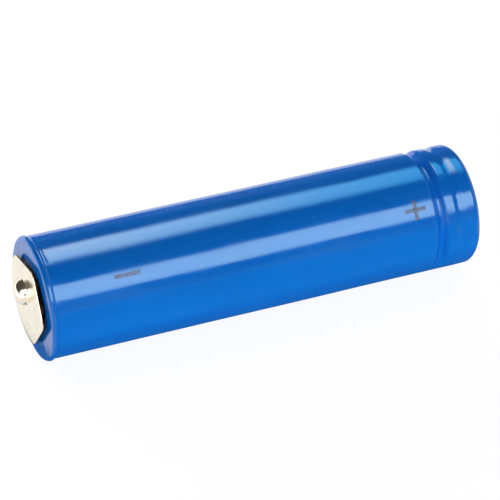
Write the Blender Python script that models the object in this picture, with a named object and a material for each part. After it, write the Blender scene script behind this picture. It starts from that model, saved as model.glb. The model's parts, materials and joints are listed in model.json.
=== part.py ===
"""Cylindrical lithium-ion cell with its own protection board, modelled piece by piece.

Metres, +Z up. The cell lies on its side: its axis is X, the positive terminal faces +X and
the origin is the centre of its box. Depths are measured inwards from the two flat ends of
the shrink sleeve: behind_negative(depth) and behind_positive(depth) give the X of a depth.
"""

import math

import bmesh
import bpy
from mathutils import Matrix, Vector

MM = 0.001

# Driving dimensions
CELL_LENGTH = 71.0 * MM  # nub tip to positive cap
CELL_RADIUS = 9.25 * MM  # over the sleeve
NUB_PROUD = 2.25 * MM  # nub tip beyond the sleeve's negative end
CAP_PROUD = 0.10 * MM  # positive cap beyond the sleeve's positive end
CLEARANCE = 0.04 * MM  # between pieces that touch on the real cell

NEGATIVE_X = NUB_PROUD - CELL_LENGTH / 2
POSITIVE_X = CELL_LENGTH / 2 - CAP_PROUD

# Round pieces have a facet, not an edge, at their lowest line, so that the cell lies still.
COLUMNS = 40
FACET = 2 * math.pi / COLUMNS
INNER_COLUMNS = 32

# Shrink sleeve
FILM = 0.12 * MM
NEGATIVE_OPENING = 5.00 * MM
POSITIVE_OPENING = 6.50 * MM
NEGATIVE_CORNER = 0.60 * MM
POSITIVE_CORNER = 1.05 * MM
FLARE = 0.20 * MM  # the negative rim stands this much proud of the barrel
FLARE_LENGTH = 0.50 * MM
NECK_DEPTH = 0.06 * MM  # where the film sinks behind the rim
NECK_CENTRE = 1.15 * MM
NECK_HALF = 0.50 * MM
LIP_EDGE = 6.35 * MM  # inside this radius the negative end sinks towards its opening
LIP_DIP = 0.28 * MM
TAUT_START = math.radians(219)  # between these angles the film bridges the grooves
TAUT_END = math.radians(335)

# Grooves round the positive end, as depths from that end
BEAD_CENTRE = 6.35 * MM
BEAD_HALF = 1.15 * MM
BEAD_DEPTH = 0.85 * MM
CRIMP_CENTRE = 3.20 * MM
CRIMP_HALF = 1.20 * MM
CRIMP_DEPTH = 0.17 * MM

# Can
CAN_WALL = 0.25 * MM
CAN_FLOOR = 0.30 * MM
CAN_BASE = 3.15 * MM  # depth of the can's base behind the negative end
CAN_CORNER = 1.00 * MM
CAN_INSET = FILM + CLEARANCE
CAN_LIP_DEPTH = 0.45 * MM
CAN_LIP_OPENING = 7.00 * MM

# Strip from the positive cap to the board, along the barrel's hidden lower side
STRIP_ANGLE = math.radians(-45)
STRIP_FACETS = 3
STRIP = 0.10 * MM
STRIP_TAPE = 0.05 * MM
STRIP_RISE = STRIP + STRIP_TAPE + 1.5 * CLEARANCE
STRIP_INNER = CELL_RADIUS - CAN_INSET + STRIP_TAPE + 1.5 * CLEARANCE

# Contact plate and protection board
CONTACT_RADIUS = 7.15 * MM
FLAT_REACH = 5.85 * MM  # from the axis to each of the plate's flats
FLAT_ANGLES = [math.radians(angle) for angle in (79, 149, 219)]
CONTACT_COLUMNS = 36
CONTACT_TURN = math.radians(4)  # puts columns on the corners of the flats
CONTACT_FACE = -0.75 * MM
CONTACT_SHEET = 0.20 * MM
NUB_RADIUS = 1.90 * MM
NUB_FLAT = 0.45 * MM  # radius of the small flat at the nub's tip
NUB_ASIDE = Vector((0, 1.40, 0.60)) * MM  # from the axis to the nub's middle
LEGS = 6
LEG_START = math.radians(52)
LEG_WIDTH = 1.20 * MM
LEG_THICKNESS = 0.20 * MM
LEG_RADIUS = 4.30 * MM  # to the outside of each leg
FOOT_LENGTH = 1.10 * MM
BOARD_FACE = 0.45 * MM
BOARD = 0.80 * MM
BOARD_RADIUS = 8.45 * MM
BOARD_BACK = BOARD_FACE + BOARD
PAPER_FACE = 2.55 * MM
STRAP_FOLD = 5.70 * MM  # radius where the strap folds back

# Electrode roll
ROLL_CORE = 1.95 * MM
ROLL_PITCH = 1.12 * MM
ROLL_TURNS = 5
STEPS_PER_TURN = 20
ROLL_STEP = 2 * math.pi / STEPS_PER_TURN
ROLL_STEPS = ROLL_TURNS * STEPS_PER_TURN
ELECTRODE = 0.26 * MM
SEPARATOR = 0.14 * MM
LAYER_GAP = (ROLL_PITCH - 2 * ELECTRODE - 2 * SEPARATOR) / 4
ROLL_START = 4.10 * MM  # depth behind the negative end
ROLL_END = 8.55 * MM  # depth behind the positive end
SEPARATOR_OVERHANG = 0.5 * MM  # past the anode, which overhangs the cathode as much
ANODE_AT = 0.0
CATHODE_AT = ELECTRODE + SEPARATOR + 2 * LAYER_GAP
CATHODE_TAB_STEP = 63
ANODE_TAB_STEP = 94
TAB = 0.12 * MM
TAB_PAST_AXIS = 1.5 * MM

# Cap stack, as depths behind the positive end
CAP_SHEET = 0.30 * MM
STACK_TOP = 1.15 * MM
STACK_RADIUS = 7.85 * MM
PTC = 0.30 * MM
VENT_SHEET = 0.20 * MM
CID_SHEET = 0.35 * MM
CID_FACE = 3.15 * MM


def behind_negative(depth):
    return NEGATIVE_X + depth


def behind_positive(depth):
    return POSITIVE_X - depth


def material(name, colour, roughness, metallic):
    made = bpy.data.materials.get(name) or bpy.data.materials.new(name)
    made.use_nodes = True
    shader = made.node_tree.nodes["Principled BSDF"]
    shader.inputs["Base Color"].default_value = (*colour, 1.0)
    shader.inputs["Roughness"].default_value = roughness
    shader.inputs["Metallic"].default_value = metallic
    made.diffuse_color = (*colour, 1.0)
    return made


def finish(name):
    """The material of a piece, by the name of what it is made of."""
    finishes = {
        "blue_film": ((0.0, 0.16, 0.64), 0.25, 0.0),
        "plated_steel": ((0.70, 0.68, 0.64), 0.28, 1.0),
        "warm_nickel": ((0.84, 0.78, 0.68), 0.25, 1.0),
        "nickel": ((0.72, 0.69, 0.62), 0.30, 1.0),
        "aluminium": ((0.80, 0.81, 0.82), 0.35, 1.0),
        "board_laminate": ((0.010, 0.010, 0.012), 0.40, 0.0),
        "chip_resin": ((0.02, 0.02, 0.022), 0.50, 0.0),
        "chip_ceramic": ((0.42, 0.33, 0.24), 0.55, 0.0),
        "fish_paper": ((0.30, 0.42, 0.34), 0.80, 0.0),
        "white_plastic": ((0.85, 0.85, 0.83), 0.45, 0.0),
        "grey_plastic": ((0.45, 0.46, 0.48), 0.50, 0.0),
        "amber_tape": ((0.62, 0.30, 0.03), 0.35, 0.0),
        "ptc_polymer": ((0.05, 0.05, 0.05), 0.60, 0.0),
        "copper_graphite": ((0.10, 0.085, 0.075), 0.65, 0.0),
        "aluminium_oxide_coat": ((0.035, 0.035, 0.045), 0.70, 0.0),
        "separator_film": ((0.88, 0.88, 0.86), 0.40, 0.0),
    }
    return material(name, *finishes[name])


def add_piece(name, mesh_data, made_of, x=0.0):
    """A named object of this bmesh, parented to the cell and placed along its axis."""
    bmesh.ops.recalc_face_normals(mesh_data, faces=mesh_data.faces)
    mesh = bpy.data.meshes.new(name)
    mesh_data.to_mesh(mesh)
    mesh_data.free()
    mesh.shade_smooth()
    mesh.set_sharp_from_angle(angle=math.radians(30))
    piece = bpy.data.objects.new(name, mesh)
    piece.data.materials.append(finish(made_of))
    piece.parent = bpy.data.objects["cell"]
    piece.location.x = x
    bpy.context.collection.objects.link(piece)
    return piece


def add_cutter(name, mesh_data, x=0.0):
    cutter = add_piece(name, mesh_data, "chip_resin", x)
    cutter.hide_render = True
    cutter.display_type = "WIRE"
    return cutter


def combine(piece, other, operation):
    modifier = piece.modifiers.new(other.name, "BOOLEAN")
    modifier.operation = operation
    modifier.solver = "EXACT"
    modifier.use_self = operation == "UNION"
    modifier.object = other


def ring(mesh_data, x, radius, columns, turn):
    """Vertices round the axis. A radius that depends on the angle is given as a function."""
    if not callable(radius) and radius == 0:
        return [mesh_data.verts.new((x, 0, 0))]
    made = []
    for column in range(columns):
        angle = turn + 2 * math.pi * column / columns
        r = radius(angle) if callable(radius) else radius
        made.append(mesh_data.verts.new((x, r * math.cos(angle), r * math.sin(angle))))
    return made


def join_rings(mesh_data, first, second):
    count = max(len(first), len(second))
    for i in range(count if count > 1 else 0):
        j = (i + 1) % count
        if len(first) == 1:
            corners = (first[0], second[i], second[j])
        elif len(second) == 1:
            corners = (first[i], first[j], second[0])
        else:
            corners = (first[i], first[j], second[j], second[i])
        mesh_data.faces.new(corners)


def turned(name, outline, made_of, x=0.0, columns=INNER_COLUMNS, turn=None):
    """A body of revolution about X through a closed outline of (x, radius) points."""
    if turn is None:
        turn = math.pi / columns
    mesh_data = bmesh.new()
    rings = [ring(mesh_data, px, radius, columns, turn) for px, radius in outline]
    for i, this in enumerate(rings):
        following = rings[(i + 1) % len(rings)]
        join_rings(mesh_data, this, following)
    return add_piece(name, mesh_data, made_of, x)


def washer_outline(thickness, inner, outer):
    """Outline of a flat ring, or of a disc when the inner radius is zero."""
    return [(0, inner), (0, outer), (thickness, outer), (thickness, inner)]


def arc(centre_x, centre_r, reach_x, reach_r, points=4):
    """A quarter of an ellipse, from beside its centre in X to beside it in radius."""
    made = []
    for i in range(points):
        t = math.pi / 2 * i / (points - 1)
        made.append((centre_x - reach_x * math.cos(t), centre_r + reach_r * math.sin(t)))
    return made


def add_box(mesh_data, size, centre, tilt=None):
    """A box of these sizes. tilt is a rotation about the cell's axis, or a whole matrix."""
    place = Matrix.Translation(centre) @ Matrix.Diagonal((*size, 1))
    if isinstance(tilt, float):
        tilt = Matrix.Rotation(tilt, 4, "X")
    bmesh.ops.create_cube(mesh_data, size=1, matrix=tilt @ place if tilt else place)


def add_drill(mesh_data, radius, length, distance, angle, sides=10):
    """A cylinder along X, at this distance from the axis."""
    place = Matrix.Rotation(angle, 4, "X") @ Matrix.Translation((0, distance, 0))
    place = place @ Matrix.Rotation(math.pi / 2, 4, "Y")
    shape = {"segments": sides, "radius1": radius, "radius2": radius, "depth": length}
    bmesh.ops.create_cone(mesh_data, cap_ends=True, matrix=place, **shape)


# The barrel's outline


def bump(t):
    """1 at t = 0, falling smoothly to 0 at t = -1 and t = 1."""
    return math.cos(math.pi * t / 2) ** 2 if abs(t) < 1 else 0.0


def barrel_radius(x):
    """Radius over the sleeve at X, with its flared rim, neck, bead groove and crimp groove."""
    from_negative = x - NEGATIVE_X
    from_positive = POSITIVE_X - x
    radius = CELL_RADIUS
    radius += FLARE * bump((from_negative - NEGATIVE_CORNER) / FLARE_LENGTH)
    radius -= NECK_DEPTH * bump((from_negative - NECK_CENTRE) / NECK_HALF)
    radius -= BEAD_DEPTH * bump((from_positive - BEAD_CENTRE) / BEAD_HALF)
    radius -= CRIMP_DEPTH * bump((from_positive - CRIMP_CENTRE) / CRIMP_HALF)
    return radius


def stations(centre, half):
    return [centre + half * step / 2 for step in (-2, -1, 0, 1, 2)]


def groove_stations():
    """X of each ring along the two grooves, from the barrel to the positive end."""
    depths = stations(BEAD_CENTRE, BEAD_HALF) + stations(CRIMP_CENTRE, CRIMP_HALF)
    return [behind_positive(depth) for depth in sorted(depths, reverse=True)]


def neck_stations():
    return [behind_negative(depth) for depth in stations(NECK_CENTRE, NECK_HALF)]


def positive_corner(inset_x, inset_r):
    """The rounded positive edge, from the barrel to the end face, inset by these amounts."""
    centre_x = behind_positive(POSITIVE_CORNER)
    curve = arc(0, CELL_RADIUS - POSITIVE_CORNER, POSITIVE_CORNER - inset_x, POSITIVE_CORNER - inset_r)
    return [(centre_x - x, radius) for x, radius in reversed(curve)]


def negative_corner(inset):
    rim = CELL_RADIUS + FLARE
    reach = NEGATIVE_CORNER - inset
    return arc(behind_negative(NEGATIVE_CORNER), rim - NEGATIVE_CORNER, reach, reach)


def film_surface(inset):
    """(x, radius) points along the sleeve, from the negative opening to the positive one."""
    middle = [(x, barrel_radius(x) - inset) for x in neck_stations() + groove_stations()]
    return [
        (behind_negative(inset + LIP_DIP), NEGATIVE_OPENING),
        (behind_negative(inset), LIP_EDGE),
        *negative_corner(inset),
        *middle,
        *positive_corner(inset, inset),
        (behind_positive(inset), POSITIVE_OPENING),
    ]


def near_strip(angle):
    """Whether a vertex at this angle lies over the strip along the barrel."""
    apart = (angle - STRIP_ANGLE + math.pi) % (2 * math.pi) - math.pi
    return abs(apart) < (STRIP_FACETS + 0.5) / 2 * FACET


def over_underside(radius, barrel):
    """A ring radius for film that bridges the grooves along the underside and over the strip."""

    def radius_at(angle):
        if near_strip(angle):
            return max(radius, barrel) + STRIP_RISE
        return max(radius, barrel) if TAUT_START < angle < TAUT_END else radius

    return radius_at


def make_shrink_sleeve():
    outline = []
    lip = 2  # points of the flat negative end, before its corner
    corner = 4  # points of each rounded corner
    for inset in (0.0, FILM):
        surface = film_surface(inset)
        made = surface[:lip]
        barrel_end = len(surface) - corner - 1
        for i, (x, radius) in enumerate(surface[lip:-1], start=lip):
            on_barrel = lip + corner <= i < barrel_end
            barrel = CELL_RADIUS - inset if on_barrel else radius
            made.append((x, over_underside(radius, barrel)))
        made.append(surface[-1])
        outline += made if inset == 0 else reversed(made)
    turned("shrink_sleeve", outline, "blue_film", columns=COLUMNS)


def make_can():
    base = behind_negative(CAN_BASE)
    outer_radius = CELL_RADIUS - CAN_INSET
    corner_x = base + CAN_CORNER
    corner_r = outer_radius - CAN_CORNER
    sides = [(x, barrel_radius(x) - CAN_INSET) for x in groove_stations()]
    outer = [(base, 0)]
    outer += arc(corner_x, corner_r, CAN_CORNER, CAN_CORNER)
    outer += sides
    outer += positive_corner(CAN_LIP_DEPTH, CAN_INSET)
    outer.append((behind_positive(CAN_LIP_DEPTH), CAN_LIP_OPENING))
    inner = [(base + CAN_FLOOR, 0)]
    inner += arc(corner_x, corner_r, CAN_CORNER - CAN_FLOOR, CAN_CORNER - CAN_WALL)
    inner += [(x, radius - CAN_WALL) for x, radius in sides]
    inner += positive_corner(CAN_LIP_DEPTH + CAN_WALL, CAN_INSET + CAN_WALL)
    inner.append((behind_positive(CAN_LIP_DEPTH + CAN_WALL), CAN_LIP_OPENING))
    turned("can", outer + inner[::-1], "plated_steel", columns=COLUMNS)


# Strips and tabs


def offset_path(path, distance):
    """The path moved sideways, with mitred corners."""
    made = []
    for i, here in enumerate(path):
        before = Vector(path[max(i - 1, 0)])
        after = Vector(path[min(i + 1, len(path) - 1)])
        into = (Vector(here) - before).normalized() if i else None
        out = (after - Vector(here)).normalized() if i < len(path) - 1 else into
        into = into or out
        normal = Vector((-into.y - out.y, into.x + out.x)).normalized()
        stretch = max(normal.dot(Vector((-into.y, into.x))), 0.3)
        made.append(Vector(here) + normal * distance / stretch)
    return made


def ribbon(name, path, thickness, columns, made_of):
    """A strip of sheet whose middle follows a path of (x, radius) points.

    Each column is a function that places a point of the path in space.
    """
    mesh_data = bmesh.new()
    sides = [offset_path(path, thickness / 2), offset_path(path, -thickness / 2)]
    grid = [
        [[mesh_data.verts.new(place(*point)) for place in columns] for point in side] for side in sides
    ]
    top, bottom = grid
    last = len(columns) - 1
    for i in range(len(path) - 1):
        for j in range(last):
            mesh_data.faces.new((top[i][j], top[i][j + 1], top[i + 1][j + 1], top[i + 1][j]))
            mesh_data.faces.new((bottom[i][j + 1], bottom[i][j], bottom[i + 1][j], bottom[i + 1][j + 1]))
        for j in (0, last):
            mesh_data.faces.new((top[i][j], top[i + 1][j], bottom[i + 1][j], bottom[i][j]))
    for i in (0, len(path) - 1):
        for j in range(last):
            mesh_data.faces.new((top[i][j], top[i][j + 1], bottom[i][j + 1], bottom[i][j]))
    return add_piece(name, mesh_data, made_of)


def flat_columns(angle, width):
    """Two columns either side of the half-plane at this angle."""

    def column(side):
        across = Vector((0, -math.sin(angle), math.cos(angle))) * side * width / 2
        return lambda x, radius: Vector((x, radius * math.cos(angle), radius * math.sin(angle))) + across

    return [column(-1), column(1)]


def curved_columns(angle, facets):
    """Columns on the vertex lines of the round pieces, so that the strip lies along their facets."""

    def column(step):
        at = angle + (step - facets / 2) * FACET
        return lambda x, radius: Vector((x, radius * math.cos(at), radius * math.sin(at)))

    return [column(step) for step in range(facets + 1)]


def make_sense_strip():
    """Nickel strip, soldered to the board and welded to the positive cap's rim."""
    columns = curved_columns(STRIP_ANGLE, STRIP_FACETS)
    middle = STRIP_INNER + STRIP / 2
    solder_depth = BOARD_FACE - CLEARANCE - STRIP
    weld_depth = 0.22 * MM
    bend_end = 1.2 * MM  # depth where the strip reaches the barrel
    bend_start = BOARD_RADIUS + 0.15 * MM
    solder_length = 1.0 * MM
    weld_end = 4.5 * MM  # radius
    path = [(behind_negative(solder_depth), BOARD_RADIUS - solder_length)]
    path += arc(behind_negative(bend_end), bend_start, bend_end - solder_depth, middle - bend_start)
    centre_r = CELL_RADIUS - POSITIVE_CORNER
    corner = arc(0, centre_r, POSITIVE_CORNER - weld_depth, middle - centre_r)
    path += [(behind_positive(POSITIVE_CORNER) - x, radius) for x, radius in reversed(corner)]
    path.append((behind_positive(weld_depth), weld_end))
    ribbon("sense_strip", path, STRIP, columns, "nickel")


def make_strip_tape():
    """Insulating tape between the strip and the can."""
    middle = CELL_RADIUS - CAN_INSET + 0.75 * CLEARANCE + STRIP_TAPE / 2
    path = [
        (behind_negative(CAN_BASE + CAN_CORNER), middle),
        (behind_positive(POSITIVE_CORNER), middle),
    ]
    columns = curved_columns(STRIP_ANGLE, STRIP_FACETS)
    ribbon("strip_insulation_tape", path, STRIP_TAPE, columns, "amber_tape")


# Negative end


def plate_edge(angle):
    """Radius of the contact plate's edge: round, with three flats."""
    reaches = [FLAT_REACH / max(math.cos(angle - flat), 0.1) for flat in FLAT_ANGLES]
    return min(CONTACT_RADIUS, *reaches)


def make_contact_legs():
    """Legs under the plate, with feet turned inwards and soldered to the board."""
    top = CONTACT_FACE + 0.5 * CONTACT_SHEET
    foot = BOARD_FACE - CLEARANCE
    toe = LEG_RADIUS - FOOT_LENGTH
    outside = [(top, LEG_RADIUS), (foot, LEG_RADIUS), (foot, toe)]
    inside = [(foot - LEG_THICKNESS, toe), (foot - LEG_THICKNESS, LEG_RADIUS - LEG_THICKNESS)]
    outline = [*outside, *inside, (top, LEG_RADIUS - LEG_THICKNESS)]
    mesh_data = bmesh.new()
    for leg in range(LEGS):
        columns = flat_columns(LEG_START + leg * 2 * math.pi / LEGS, LEG_WIDTH)
        sides = [[mesh_data.verts.new(place(*point)) for point in outline] for place in columns]
        mesh_data.faces.new(sides[0])
        mesh_data.faces.new(reversed(sides[1]))
        join_rings(mesh_data, *sides)
    return mesh_data


def make_negative_contact():
    """Plate with three flats and a hollow domed nub pressed out of it."""
    back = CONTACT_FACE + CONTACT_SHEET
    height = NUB_PROUD + CONTACT_FACE
    curve = 6
    dome = arc(CONTACT_FACE, NUB_FLAT, height, NUB_RADIUS - NUB_FLAT, curve)
    hollow = arc(back, NUB_FLAT, height, NUB_RADIUS - NUB_FLAT - CONTACT_SHEET, curve)
    dome.insert(0, (CONTACT_FACE - height, 0))
    hollow.insert(0, (back - height, 0))
    outline = [*dome, (CONTACT_FACE, plate_edge), (back, plate_edge), *reversed(hollow)]
    mesh_data = bmesh.new()
    rings = [ring(mesh_data, x, radius, CONTACT_COLUMNS, CONTACT_TURN) for x, radius in outline]
    for this in rings[: len(dome)] + rings[-len(hollow) :]:
        bmesh.ops.translate(mesh_data, verts=this, vec=NUB_ASIDE)
    for this, following in zip(rings, rings[1:]):
        join_rings(mesh_data, this, following)
    plate = add_piece("negative_contact", mesh_data, "warm_nickel", NEGATIVE_X)
    legs = add_cutter("contact_leg_shapes", make_contact_legs(), NEGATIVE_X)
    combine(plate, legs, "UNION")


def make_board():
    turned(
        "protection_board",
        washer_outline(BOARD, 0, BOARD_RADIUS),
        "board_laminate",
        behind_negative(BOARD_FACE),
    )
    chips = {
        "mosfet_chip_a": ((0.90, 3.0, 4.4), (2.3, 2.0), "chip_resin"),
        "mosfet_chip_b": ((0.90, 3.0, 4.4), (-2.3, 2.0), "chip_resin"),
        "control_chip": ((1.05, 2.9, 1.6), (0.0, -2.0), "chip_resin"),
        "supply_resistor": ((0.45, 1.6, 0.8), (-3.2, -2.0), "chip_resin"),
        "sense_resistor": ((0.45, 1.6, 0.8), (3.2, -2.0), "chip_resin"),
        "filter_capacitor": ((0.75, 1.6, 0.8), (0.0, -3.8), "chip_ceramic"),
    }
    for name, (size, (y, z), made_of) in chips.items():
        mesh_data = bmesh.new()
        add_box(mesh_data, [side * MM for side in size], (0, y * MM, z * MM))
        seat = behind_negative(BOARD_BACK + CLEARANCE) + size[0] * MM / 2
        chip = add_piece(name, mesh_data, made_of, seat)
        bevel = chip.modifiers.new("edges", "BEVEL")
        bevel.width = 0.08 * MM
        bevel.segments = 1


def make_board_spacer():
    """Foam ring that holds the board off the can's base and leaves room for its chips."""
    front = BOARD_BACK + CLEARANCE
    length = CAN_BASE - CLEARANCE - front
    inner, outer = 7.10 * MM, 8.30 * MM
    turned(
        "board_spacer",
        washer_outline(length, inner, outer),
        "grey_plastic",
        behind_negative(front),
    )


def make_base_paper():
    """Paper disc over the can's base, with a window for the strap."""
    thickness = 0.20 * MM
    radius = 6.95 * MM
    x = behind_negative(PAPER_FACE)
    disc = turned("base_paper", washer_outline(thickness, 0, radius), "fish_paper", x)
    window = (3 * thickness, 1.6 * MM, 4.4 * MM)
    mesh_data = bmesh.new()
    add_box(mesh_data, window, (thickness / 2, -STRAP_FOLD, 0))
    combine(disc, add_cutter("paper_window", mesh_data, x), "DIFFERENCE")


def make_negative_strap():
    """Nickel strap, welded to the can's base and folded back to the board."""
    thickness = 0.15 * MM
    width = 3.6 * MM
    bend = 0.2 * MM
    weld_end, solder_end = 0.5 * MM, 4.5 * MM  # radii
    on_can = behind_negative(CAN_BASE - CLEARANCE - thickness / 2)
    on_board = behind_negative(BOARD_BACK + CLEARANCE + thickness / 2)
    path = [(on_can, weld_end), (on_can, STRAP_FOLD - bend), (on_can - bend, STRAP_FOLD)]
    path += [(on_board + bend, STRAP_FOLD), (on_board, STRAP_FOLD - bend), (on_board, solder_end)]
    ribbon("negative_strap", path, thickness, flat_columns(math.pi, width), "nickel")


# Electrode roll


def wound(name, radii, first_step, thickness, start, end, made_of, step=ROLL_STEP):
    """A sheet round the axis, with one inner radius at each step of angle."""
    mesh_data = bmesh.new()
    rows = []
    for i, inner in enumerate(radii):
        angle = (first_step + i) * step
        across = (math.cos(angle), math.sin(angle))
        corners = [(start, inner), (end, inner), (end, inner + thickness), (start, inner + thickness)]
        rows.append([mesh_data.verts.new((x, r * across[0], r * across[1])) for x, r in corners])
    for this, following in zip(rows, rows[1:]):
        for i in range(4):
            j = (i + 1) % 4
            mesh_data.faces.new((this[i], this[j], following[j], following[i]))
    mesh_data.faces.new(rows[0])
    mesh_data.faces.new(rows[-1])
    return add_piece(name, mesh_data, made_of)


def roll_radius(step, offset):
    return ROLL_CORE + ROLL_PITCH * step / STEPS_PER_TURN + offset


def roll_ends(overhang):
    return behind_negative(ROLL_START) + overhang, behind_positive(ROLL_END) - overhang


def make_roll():
    sheets = (
        ("anode_sheet", ANODE_AT, ELECTRODE, SEPARATOR_OVERHANG, "copper_graphite"),
        ("separator_inner", ELECTRODE + LAYER_GAP, SEPARATOR, 0.0, "separator_film"),
        ("cathode_sheet", CATHODE_AT, ELECTRODE, 2 * SEPARATOR_OVERHANG, "aluminium_oxide_coat"),
        ("separator_outer", CATHODE_AT + ELECTRODE + LAYER_GAP, SEPARATOR, 0.0, "separator_film"),
    )
    for name, offset, thickness, overhang, made_of in sheets:
        radii = [roll_radius(step, offset) for step in range(ROLL_STEPS + 1)]
        wound(name, radii, 0, thickness, *roll_ends(overhang), made_of)


def make_roll_tape():
    """Tape over the roll's loose end, stepping down to the turn below it."""
    over_roll = ROLL_PITCH - LAYER_GAP + CLEARANCE
    held, past = 5, 3
    radii = [roll_radius(step, over_roll) for step in range(ROLL_STEPS - held, ROLL_STEPS + 1)]
    top = radii[-1]
    below = roll_radius(ROLL_STEPS + past - STEPS_PER_TURN, over_roll)
    radii += [top + (below - top) * i / past for i in range(1, past + 1)]
    length = 50 * MM
    thickness = 0.06 * MM
    wound("roll_tape", radii, ROLL_STEPS - held, thickness, -length / 2, length / 2, "amber_tape")


def make_core_pin():
    """Slit tube down the middle of the roll."""
    sides = 14
    inner, wall, inset = 1.40 * MM, 0.22 * MM, 0.3 * MM
    start, end = roll_ends(inset)
    wound("core_pin", [inner] * sides, 0, wall, start, end, "plated_steel", 2 * math.pi / sides)


def slot_place(step, offset):
    """Angle and middle radius of the flat stretch between one step of the roll and the next."""
    angle = (step + 0.5) * ROLL_STEP
    radius = (roll_radius(step + 0.5, offset) + ELECTRODE / 2) * math.cos(ROLL_STEP / 2)
    return angle, radius


def make_negative_tab():
    """Nickel tab from the anode's edge to the can's floor."""
    angle, radius = slot_place(ANODE_TAB_STEP, ANODE_AT)
    floor = behind_negative(CAN_BASE + CAN_FLOOR + CLEARANCE) + TAB / 2
    edge = roll_ends(SEPARATOR_OVERHANG)[0] - CLEARANCE
    bend, width = 0.15 * MM, 2.1 * MM
    path = [(edge, radius), (floor + bend, radius), (floor, radius - bend), (floor, -TAB_PAST_AXIS)]
    ribbon("negative_tab", path, TAB, flat_columns(angle, width), "nickel")


def make_positive_tab():
    """Aluminium tab from the cathode's edge to the perforated plate."""
    angle, radius = slot_place(CATHODE_TAB_STEP, CATHODE_AT)
    plate = behind_positive(CID_FACE + CID_SHEET + CLEARANCE) - TAB / 2
    edge = roll_ends(2 * SEPARATOR_OVERHANG)[1] + CLEARANCE
    bend, width = 0.3 * MM, 1.5 * MM
    path = [(edge, radius), (plate - bend, radius), (plate, radius - bend), (plate, -TAB_PAST_AXIS)]
    ribbon("positive_tab", path, TAB, flat_columns(angle, width), "aluminium")


def tab_slot(mesh_data, step, offset, width, depth):
    """Room in an insulator for a tab to pass."""
    angle, radius = slot_place(step, offset)
    height = 0.7 * MM
    add_box(mesh_data, (depth, height, width), (0, radius, 0), angle)


def make_bottom_insulator():
    """Disc between the can's floor and the roll, with a hole for welding and a tab slot."""
    thickness = 0.20 * MM
    inner, outer = 1.2 * MM, 8.15 * MM
    slot_width = 2.6 * MM
    x = behind_negative(CAN_BASE + CAN_FLOOR + TAB + 2.5 * CLEARANCE)
    disc = turned("bottom_insulator", washer_outline(thickness, inner, outer), "white_plastic", x)
    mesh_data = bmesh.new()
    tab_slot(mesh_data, ANODE_TAB_STEP, ANODE_AT, slot_width, 4 * thickness)
    combine(disc, add_cutter("bottom_insulator_slot", mesh_data, x), "DIFFERENCE")


def make_top_insulator():
    """Perforated disc between the roll and the bead."""
    thickness = 0.25 * MM
    inner, outer = 1.5 * MM, 8.60 * MM
    slot_width = 2.1 * MM
    hole_radius, hole_circle = 0.9 * MM, 5.4 * MM
    x = behind_positive(ROLL_END) + 2 * CLEARANCE
    disc = turned("top_insulator", washer_outline(thickness, inner, outer), "white_plastic", x)
    mesh_data = bmesh.new()
    tab_slot(mesh_data, CATHODE_TAB_STEP, CATHODE_AT, slot_width, 4 * thickness)
    tab_angle = slot_place(CATHODE_TAB_STEP, CATHODE_AT)[0]
    for hole in range(1, 6):
        angle = tab_angle + hole * math.pi / 3
        add_drill(mesh_data, hole_radius, 4 * thickness, hole_circle, angle)
    combine(disc, add_cutter("top_insulator_holes", mesh_data, x), "DIFFERENCE")


# Positive end


def make_gasket():
    """Plastic ring that seals the cap stack into the crimped can."""
    inset = CAN_INSET + CAN_WALL + CLEARANCE
    top = CAN_LIP_DEPTH + CAN_WALL + CLEARANCE
    foot = 4.90 * MM
    lip_inner, foot_inner = 6.70 * MM, 7.05 * MM
    seat = STACK_TOP + CAP_SHEET + PTC + VENT_SHEET + 3 * CLEARANCE
    depths = [foot, *reversed(stations(CRIMP_CENTRE, CRIMP_HALF))]
    outer = [(behind_positive(depth), barrel_radius(behind_positive(depth)) - inset) for depth in depths]
    outer += positive_corner(top, inset)
    inner = [
        (behind_positive(top), lip_inner),
        (behind_positive(STACK_TOP - CLEARANCE), lip_inner),
        (behind_positive(STACK_TOP - CLEARANCE), STACK_RADIUS + CLEARANCE),
        (behind_positive(seat), STACK_RADIUS + CLEARANCE),
        (behind_positive(seat), foot_inner),
        (behind_positive(foot), foot_inner),
    ]
    turned("gasket", outer + inner, "white_plastic", columns=COLUMNS)


def make_positive_cap():
    """Stamped cap with a flat terminal, a sloping shoulder with vent windows and a flange."""
    depth_radius = [
        (-CAP_PROUD, 0),
        (-CAP_PROUD, 3.70 * MM),
        (0.05 * MM, 3.95 * MM),
        (1.00 * MM, 4.90 * MM),
        (STACK_TOP, 5.15 * MM),
        (STACK_TOP, STACK_RADIUS),
        (STACK_TOP + CAP_SHEET, STACK_RADIUS),
        (STACK_TOP + CAP_SHEET, 5.02 * MM),
        (1.20 * MM, 4.68 * MM),
        (0.30 * MM, 3.78 * MM),
        (CAP_SHEET - CAP_PROUD, 3.58 * MM),
        (CAP_SHEET - CAP_PROUD, 0),
    ]
    outline = [(-depth, radius) for depth, radius in depth_radius]
    cap = turned("positive_cap", outline, "plated_steel", POSITIVE_X)
    window_size = (0.62 * MM, 2.6 * MM, 2.4 * MM)
    window_middle = (-0.66 * MM, 4.5 * MM, 0)
    mesh_data = bmesh.new()
    for window in range(4):
        turn = math.radians(45) + window * math.pi / 2
        add_box(mesh_data, window_size, window_middle, turn)
    combine(cap, add_cutter("cap_vent_windows", mesh_data, POSITIVE_X), "DIFFERENCE")


def make_positive_washer():
    thickness = 0.12 * MM
    face = 0.30 * MM
    inner, outer = 5.30 * MM, 7.95 * MM
    turned(
        "positive_washer",
        washer_outline(thickness, inner, outer),
        "white_plastic",
        behind_positive(face + thickness),
        COLUMNS,
    )


def make_ptc_ring():
    inner = 4.60 * MM
    back = STACK_TOP + CAP_SHEET + CLEARANCE + PTC
    turned("ptc_ring", washer_outline(PTC, inner, STACK_RADIUS), "ptc_polymer", behind_positive(back))


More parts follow.
